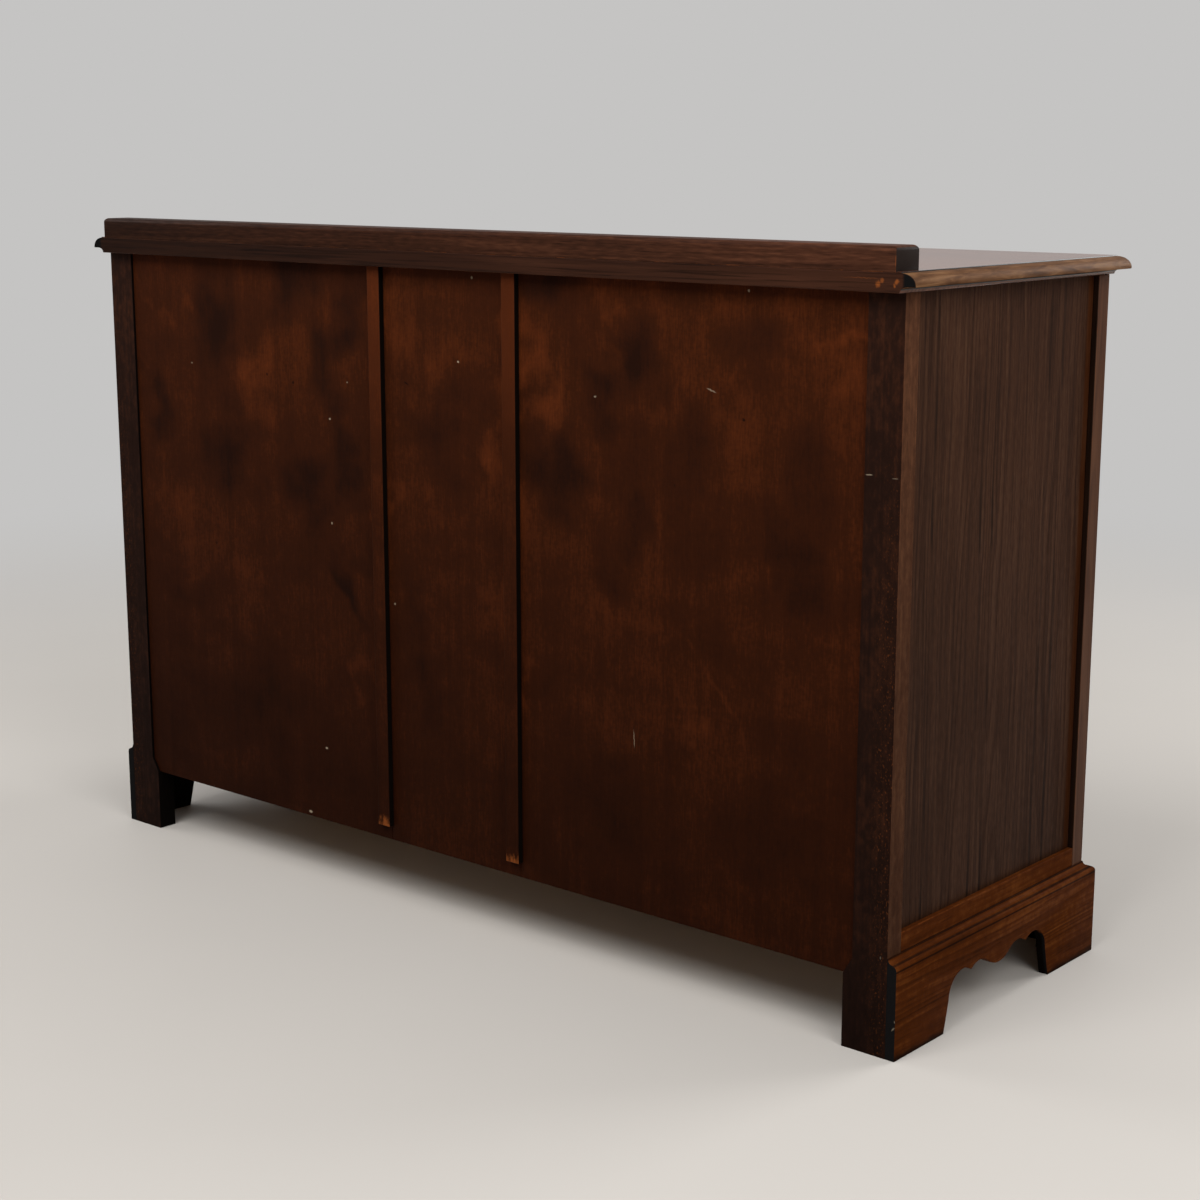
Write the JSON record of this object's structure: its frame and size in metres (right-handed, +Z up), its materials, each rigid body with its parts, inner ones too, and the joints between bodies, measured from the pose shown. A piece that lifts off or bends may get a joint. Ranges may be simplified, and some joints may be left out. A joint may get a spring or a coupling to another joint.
{
  "type": "sideboard",
  "caption": "Stained oak sideboard with panelled doors, drawers, a rounded nosing, a back rail on the top and a bracket plinth with shaped cut-outs.",
  "frame": {"origin": "on the floor under the middle of the top board's outline", "axes": "+Z up, -Y out of the front with the doors, +X to the right as seen from the front"},
  "size_m": [1.256, 0.442, 0.816],
  "materials": {
    "oak_dark": "near-black brown stain, dull",
    "oak_warm": "orange-brown stain under satin lacquer",
    "oak_grey": "grey-brown stained oak with dark vertical pores",
    "oak_top": "reddish-brown gloss lacquer",
    "ply_red": "dark red-brown stain, blotchy, satin",
    "wood_raw": "unfinished pale hardwood",
    "brass": "dull aged brass"
  },
  "bodies": {
    "carcass": {"top_board": "oak_top", "rear_upstand": "oak_dark", "post_rear_left": "oak_dark", "post_rear_right": "oak_dark", "post_front_left": "oak_warm", "post_front_right": "oak_warm", "side_panel_left": "oak_grey", "side_panel_right": "oak_grey", "side_rail_left": "oak_warm", "side_rail_right": "oak_warm", "front_bottom_rail": "oak_warm", "front_top_rail": "oak_warm", "rear_top_rail": "wood_raw", "top_cleats": "wood_raw", "base_board": "wood_raw", "partition_left": "oak_warm", "partition_right": "oak_warm", "drawer_rail_left": "oak_warm", "drawer_rail_right": "oak_warm", "centre_rails": "oak_warm", "wide_runners": "wood_raw", "centre_runners": "wood_raw", "shelf_left": "wood_raw", "shelf_right": "wood_raw", "shelf_bearers": "wood_raw", "back_sheet_left": "ply_red", "back_sheet_centre": "ply_red", "back_sheet_right": "ply_red", "back_batten_left": "oak_dark", "back_batten_right": "oak_dark", "plinth_side_left": "oak_warm", "plinth_side_right": "oak_warm", "plinth_front": "oak_warm", "glue_blocks": "wood_raw", "post_hinge_leaves": "brass"},
    "drawer_left": {"drawer_left_front": "oak_warm", "drawer_left_box": "wood_raw", "drawer_left_knobs": "oak_dark"},
    "drawer_right": {"drawer_right_front": "oak_warm", "drawer_right_box": "wood_raw", "drawer_right_knobs": "oak_dark"},
    "drawer_upper": {"drawer_upper_front": "oak_warm", "drawer_upper_box": "wood_raw", "drawer_upper_knob": "oak_dark"},
    "drawer_middle": {"drawer_middle_front": "oak_warm", "drawer_middle_box": "wood_raw", "drawer_middle_knob": "oak_dark"},
    "drawer_lower": {"drawer_lower_front": "oak_warm", "drawer_lower_box": "wood_raw", "drawer_lower_knob": "oak_dark"},
    "door_left": {"door_left_frame": "oak_warm", "door_left_panel": "oak_grey", "door_left_knob": "oak_dark", "door_left_hinge_leaves": "brass"},
    "door_right": {"door_right_frame": "oak_warm", "door_right_panel": "oak_grey", "door_right_knob": "oak_dark", "door_right_hinge_leaves": "brass"}
  },
  "joints": [
    {"name": "drawer_left_slide", "type": "slide", "parent": "carcass", "child": "drawer_left", "axis": [0, -1, 0], "range_m": [0, 0.26]},
    {"name": "drawer_right_slide", "type": "slide", "parent": "carcass", "child": "drawer_right", "axis": [0, -1, 0], "range_m": [0, 0.26]},
    {"name": "drawer_upper_slide", "type": "slide", "parent": "carcass", "child": "drawer_upper", "axis": [0, -1, 0], "range_m": [0, 0.26]},
    {"name": "drawer_middle_slide", "type": "slide", "parent": "carcass", "child": "drawer_middle", "axis": [0, -1, 0], "range_m": [0, 0.26]},
    {"name": "drawer_lower_slide", "type": "slide", "parent": "carcass", "child": "drawer_lower", "axis": [0, -1, 0], "range_m": [0, 0.26]},
    {"name": "door_left_hinge", "type": "hinge", "parent": "carcass", "child": "door_left", "pos_m": [-0.5667, -0.1965, 0.3], "axis": [0, 0, -1], "range_deg": [0, 100]},
    {"name": "door_right_hinge", "type": "hinge", "parent": "carcass", "child": "door_right", "pos_m": [0.5667, -0.1965, 0.3], "axis": [0, 0, 1], "range_deg": [0, 100]}
  ]
}
